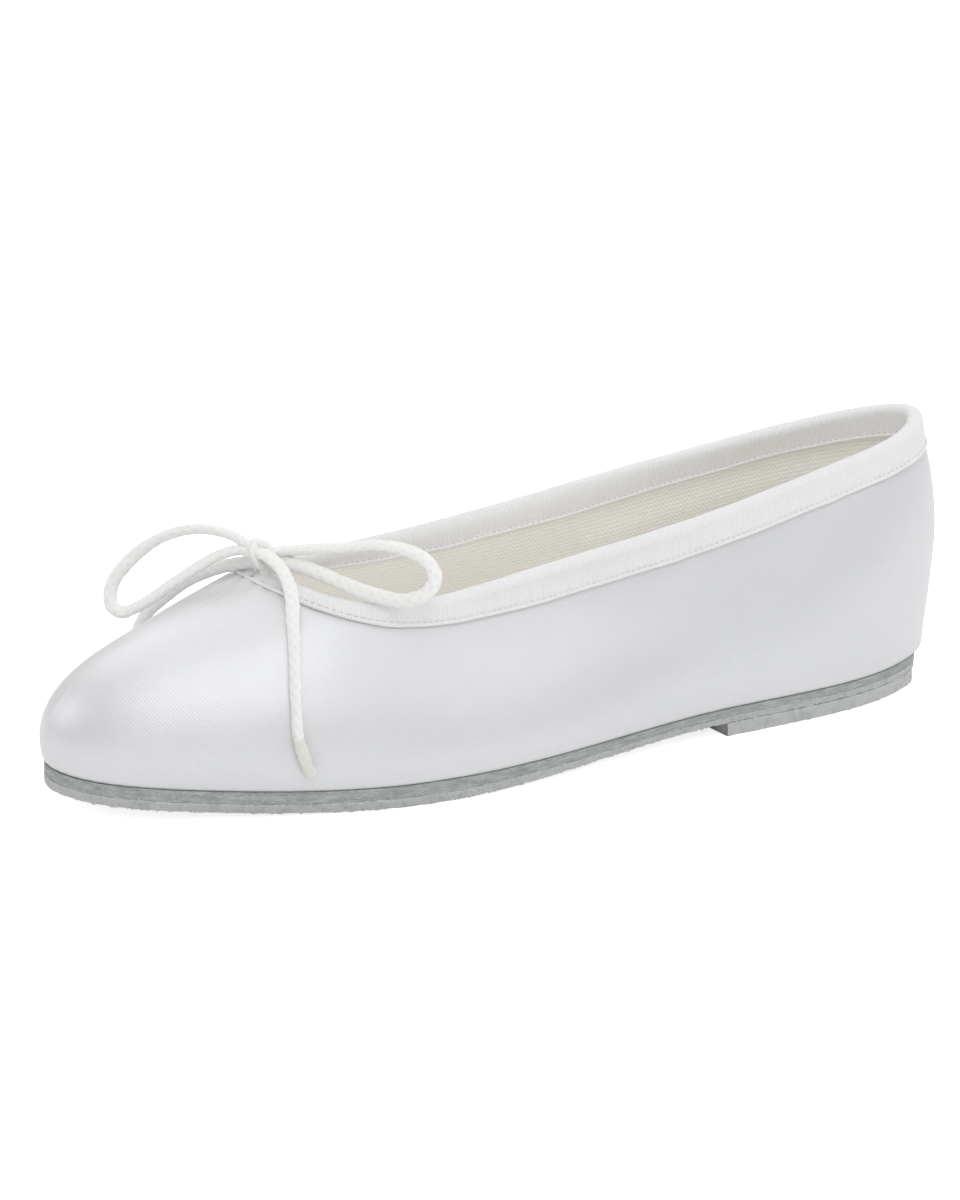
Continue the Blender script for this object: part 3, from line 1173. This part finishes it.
def build_sole():
    _, _, total = even_feather(100)
    fine = 2800

    def nap(arc, k, h, seed):
        """torn, fibrous side face: lumps, a finer grain and a few fibres standing out"""
        z = k * h
        e = 0.07 * noise1(arc, 2.3, seed, total) + 0.075 * noise2(arc, z + 0 * arc, 0.9, seed + 1) + 0.06 * noise2(arc, z * 1.4 + 0 * arc, 0.42, seed + 2)
        spike = np.clip(noise2(arc, z * 2 + 0 * arc, 0.36, seed + 3) - 0.45, 0, None)
        return e + spike * (0.16 + 0.30 * math.exp(-((k - 1) / 0.16) ** 2) + 0.34 * math.exp(-(k / 0.12) ** 2))

    def out_rough(arc, k):
        return nap(arc, k, 1.9, 161)

    def lift_rough(arc, k):
        return nap(arc + 7.7, k, 1.6, 261)

    def out_rough_z(arc, k):
        frag = np.clip(noise1(arc, 0.40, 65, total) - 0.2, 0, None) * 0.30 + 0.10 * noise1(arc, 1.4, 66, total)
        return -frag * np.clip(1 - k * 5, 0, 1) + 0.09 * noise1(arc, 0.6, 67, total) * (k > 0.75)

    def mid_rough(arc, k):
        return 0.05 * noise1(arc, 1.9, 71, total) + 0.04 * noise2(arc, 2.0 * k + 0 * arc, 0.6, 72) + 0.12 * np.clip(noise2(arc, 3 * k + 0 * arc, 0.4, 73) - 0.5, 0, None) * (k < 0.3)

    def fl_out(k):
        return 1.0 * math.exp(-((k - 1) / 0.17) ** 2) + 0.45 * math.exp(-(k / 0.15) ** 2)

    def fl_mid(k):
        return 0.8 * math.exp(-(k / 0.10) ** 2)

    out_top = lambda s: under_z(s) + OUT_SHARE * sole_t(s)
    ob = sole_mesh("outsole_suede", 0.12, lambda s: under_z(s) + 0.10, lambda s: out_top(s) + 0.0, n=fine, rough=out_rough, rough_z=out_rough_z,
                   prof=TORN, fleck=fl_out, heel=2.4)
    flex(ob, "suede", "outsole", "outsole_front", "outsole_rear")
    ob = sole_mesh("midsole_leather", 0.10, lambda s: out_top(s) + 0.03, lambda s: seat_z(s) - 0.02, n=fine, rough=mid_rough, prof=CUT, fleck=fl_mid, heel=2.2)
    flex(ob, "midsole", "midsole", "midsole_front", "midsole_rear")
    ob = sole_mesh("heel_lift_suede", 0.06, lambda s: 0 * s + 0.05, lambda s: under_z(s) - 0.02, n=fine, s_from=BREAST, rough=lift_rough,
                   rough_z=lambda a, k: (out_rough_z(a, k) * (0.3 if k < 0.4 else 0)), prof=TORN, fleck=fl_out, heel=2.7)
    on(ob, "rear", "lift", "outsole", "heel_lift")
    ob = sole_mesh("bottom_filler_felt", -5.8, lambda s: seat_z(s) + 0.04, lambda s: seat_z(s) + 0.54, n=260, edge=0.1, across=9)
    flex(ob, "filler", "filler", "bottom_filler_front", "bottom_filler_rear")
    ob = sole_mesh("insole_board", -2.7, lambda s: seat_z(s) + 0.84, lambda s: seat_z(s) + 2.28, n=300, edge=0.2, across=11)
    flex(ob, "board", "board", "insole_board_front", "insole_board_rear")
    ob = sole_mesh("insock_cotton", -3.0, lambda s: seat_z(s) + 2.40, lambda s: seat_z(s) + 3.36, n=400, edge=0.45, across=23)
    flex(ob, "insock", "insock", "insock_front", "insock_rear")


# ---------------------------------------------------------------- stiffeners inside
def build_patch(name, t0, t1, top, body, cad):
    n, m = 60, 22
    t = np.linspace(t0, t1, n)
    la = Last(t)
    lo = la.v_of_rise(1.0)
    f = np.linspace(0, 1, n)
    hi = top * (1 - np.abs(2 * f - 1) ** 2.6) ** 0.5
    hi = np.maximum(hi, lo + 0.01)
    g = np.linspace(0, 1, m)
    v = lo[:, None] + (hi - lo)[:, None] * g[None, :]
    p, nn, _ = la.at(v)
    # skived: thinner towards the edges
    sk = np.minimum(np.minimum(f, 1 - f)[:, None] * 8, np.minimum(g, 1 - g)[None, :] * 6 + 0 * v)
    th = 0.25 + 0.42 * sm(sk)
    a = p - nn * (0.86 + 0 * v)[..., None]
    b = p - nn * (0.86 + th)[..., None]
    verts = np.concatenate([a.reshape(-1, 3), b.reshape(-1, 3)])
    quads = []
    N = n * m
    for i in range(n - 1):
        for j in range(m - 1):
            q = (i * m + j, (i + 1) * m + j, (i + 1) * m + j + 1, i * m + j + 1)
            quads.append(q)
            quads.append(tuple(N + k for k in q[::-1]))
    for j in range(m - 1):
        quads.append((j, j + 1, N + j + 1, N + j))
        e = (n - 1) * m
        quads.append((e + j + 1, e + j, N + e + j, N + e + j + 1))
    for i in range(n - 1):
        quads.append(((i + 1) * m, i * m, N + i * m, N + (i + 1) * m))
        quads.append((i * m + m - 1, (i + 1) * m + m - 1, N + (i + 1) * m + m - 1, N + i * m + m - 1))
    ob = new_mesh(name, verts, quads)
    return on(ob, body, "felt", "stiffener", cad)


build_satin()
build_lining()
build_binding()
build_stitches()
build_drawstring()
build_bow()
build_sole()
build_patch("toe_puff_felt", -0.82, 0.82, 0.60, "forepart", "toe_puff")
build_patch("heel_counter_felt", math.pi - 0.62, math.pi + 0.62, 0.62, "rear", "heel_counter")


# ---------------------------------------------------------------- stage, light, camera
def stage():
    me = bpy.data.meshes.new("floor")
    r = 6.0
    me.from_pydata([(-r, -r, 0), (r, -r, 0), (r, r, 0), (-r, r, 0)], [], [(0, 1, 2, 3)])
    fl = bpy.data.objects.new("floor", me)
    bpy.context.scene.collection.objects.link(fl)
    m, nt, b = mat("floor_pale")
    b.inputs["Base Color"].default_value = (0.91, 0.91, 0.91, 1)
    b.inputs["Roughness"].default_value = 0.9
    b.inputs["Specular IOR Level"].default_value = 0.1
    # a brightly lit white ground: it glows a little, and more for the camera
    lp = nt.nodes.new("ShaderNodeLightPath")
    em = node(nt, "ShaderNodeEmission")
    em.inputs["Color"].default_value = (1, 1, 1, 1)
    nt.links.new(math_node(nt, "ADD", math_node(nt, "MULTIPLY", lp.outputs["Is Camera Ray"], 0.64), 0.10), em.inputs["Strength"])
    add = nt.nodes.new("ShaderNodeAddShader")
    out = nt.nodes["Material Output"]
    nt.links.new(b.outputs[0], add.inputs[0])
    nt.links.new(em.outputs[0], add.inputs[1])
    nt.links.new(add.outputs[0], out.inputs["Surface"])
    me.materials.append(m)
    w = bpy.data.worlds.new("studio")
    bpy.context.scene.world = w
    w.use_nodes = True
    nt = w.node_tree
    bg = nt.nodes["Background"]
    bg.inputs["Color"].default_value = (1.0, 1.0, 1.0, 1)
    lp = nt.nodes.new("ShaderNodeLightPath")
    nt.links.new(math_node(nt, "ADD", math_node(nt, "MULTIPLY", lp.outputs["Is Camera Ray"], 1.0 - WORLD), WORLD), bg.inputs["Strength"])
    for name, az, el, dist, size, power, col in LIGHTS:
        ld = bpy.data.lights.new(name, "AREA")
        ld.shape = "DISK"
        ld.size = size
        ld.energy = power
        ld.color = col
        o = bpy.data.objects.new(name, ld)
        bpy.context.scene.collection.objects.link(o)
        a, e = math.radians(az), math.radians(el)
        d = Vector((math.sin(a) * math.cos(e), -math.cos(a) * math.cos(e), math.sin(e)))
        o.location = d * dist + Vector((0, 0, 0.02))
        o.rotation_mode = "QUATERNION"
        o.rotation_quaternion = (-d).to_track_quat("-Z", "Y")
        o.visible_camera = False
    sc = bpy.context.scene
    sc.view_settings.view_transform = "Standard"
    sc.view_settings.look = "None"
    sc.view_settings.exposure = 0.0
    sc.view_settings.gamma = 1.0


WORLD = 0.56
LIGHTS = [
    ("key_right_high", 66, 60, 1.3, 0.80, 2.42, (1.0, 1.0, 1.0)),
    ("key_right", 75, 35, 1.3, 0.70, 1.58, (1.0, 1.0, 1.0)),
    ("front_right", 60, 15, 1.3, 0.50, 0.40, (1.0, 1.0, 1.0)),
    ("front_left", -40, 25, 1.3, 0.60, 1.38, (1.0, 1.0, 1.0)),
    ("left", -90, 45, 1.3, 0.80, 1.91, (1.0, 1.0, 1.0)),
    ("top", 0, 88, 1.3, 1.00, 1.85, (1.0, 1.0, 1.0)),
    ("rear_right", 130, 40, 1.3, 0.80, 0.94, (1.0, 1.0, 1.0)),
    ("rear", 180, 40, 1.3, 0.80, 2.23, (1.0, 1.0, 1.0)),
]


def camera():
    az, el, roll = [math.radians(a) for a in (61.287, 15.766, -0.664)]
    D, k, cx, cy = 1106.235 * K, 4.398 / K, 502.240, 626.169
    back = np.array([math.sin(az) * math.cos(el), -math.cos(az) * math.cos(el), math.sin(el)])
    right = np.array([math.cos(az), math.sin(az), 0.0])
    up = np.cross(back, right)
    c, s = math.cos(roll), math.sin(roll)
    right, up = c * right + s * up, -s * right + c * up
    ox, oy = (cx - 480) / k, -(cy - 600) / k
    pos = np.array([0, 100.0, 25 * K]) + D * back - ox * right - oy * up
    cd = bpy.data.cameras.new("camera")
    cam = bpy.data.objects.new("camera", cd)
    bpy.context.scene.collection.objects.link(cam)
    m = Matrix(((right[0], up[0], back[0]), (right[1], up[1], back[1]), (right[2], up[2], back[2]))).to_4x4()
    m.translation = Vector(to_m(pos))
    cam.matrix_world = m
    cd.sensor_fit = "AUTO"
    cd.sensor_width = 36.0
    cd.lens = k * D / 1200.0 * 36.0
    cd.clip_start, cd.clip_end = 0.01, 100.0
    bpy.context.scene.camera = cam


stage()
camera()
bpy.context.view_layer.update()
